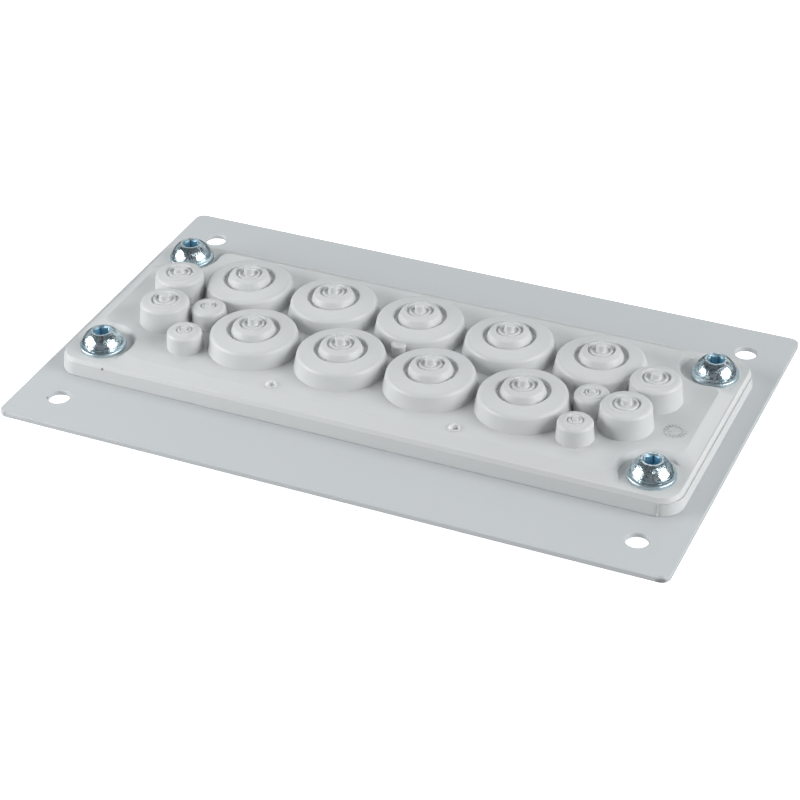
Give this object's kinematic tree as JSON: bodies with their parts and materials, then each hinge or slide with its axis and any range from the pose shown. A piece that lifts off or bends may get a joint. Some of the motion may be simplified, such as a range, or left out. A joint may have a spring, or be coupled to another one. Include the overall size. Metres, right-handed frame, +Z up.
{
  "type": "cable entry plate",
  "caption": "Flat steel flange plate carrying an elastomer membrane with pierceable cable entries of three sizes, clamped by flanged hexagon socket screws and nuts.",
  "frame": {"origin": "centre of the four corner fixing holes, on the steel plate's underside", "axes": "+X along the plate's long side, +Y across it away from the viewer of the picture, +Z up out of the plate on the side of the membrane"},
  "size_m": [0.25, 0.152, 0.03],
  "materials": {
    "plate_coating": "light grey powder coat, satin",
    "membrane_elastomer": "light grey elastomer, satin matt",
    "zinc_steel": "bright blue-tinted zinc plating"
  },
  "bodies": {
    "root": {"flange_plate": "plate_coating", "entry_membrane": "membrane_elastomer", "screw_front_left": "zinc_steel", "screw_front_right": "zinc_steel", "screw_back_right": "zinc_steel", "screw_back_left": "zinc_steel", "nut_front_left": "zinc_steel", "nut_front_right": "zinc_steel", "nut_back_right": "zinc_steel", "nut_back_left": "zinc_steel"}
  },
  "joints": []
}
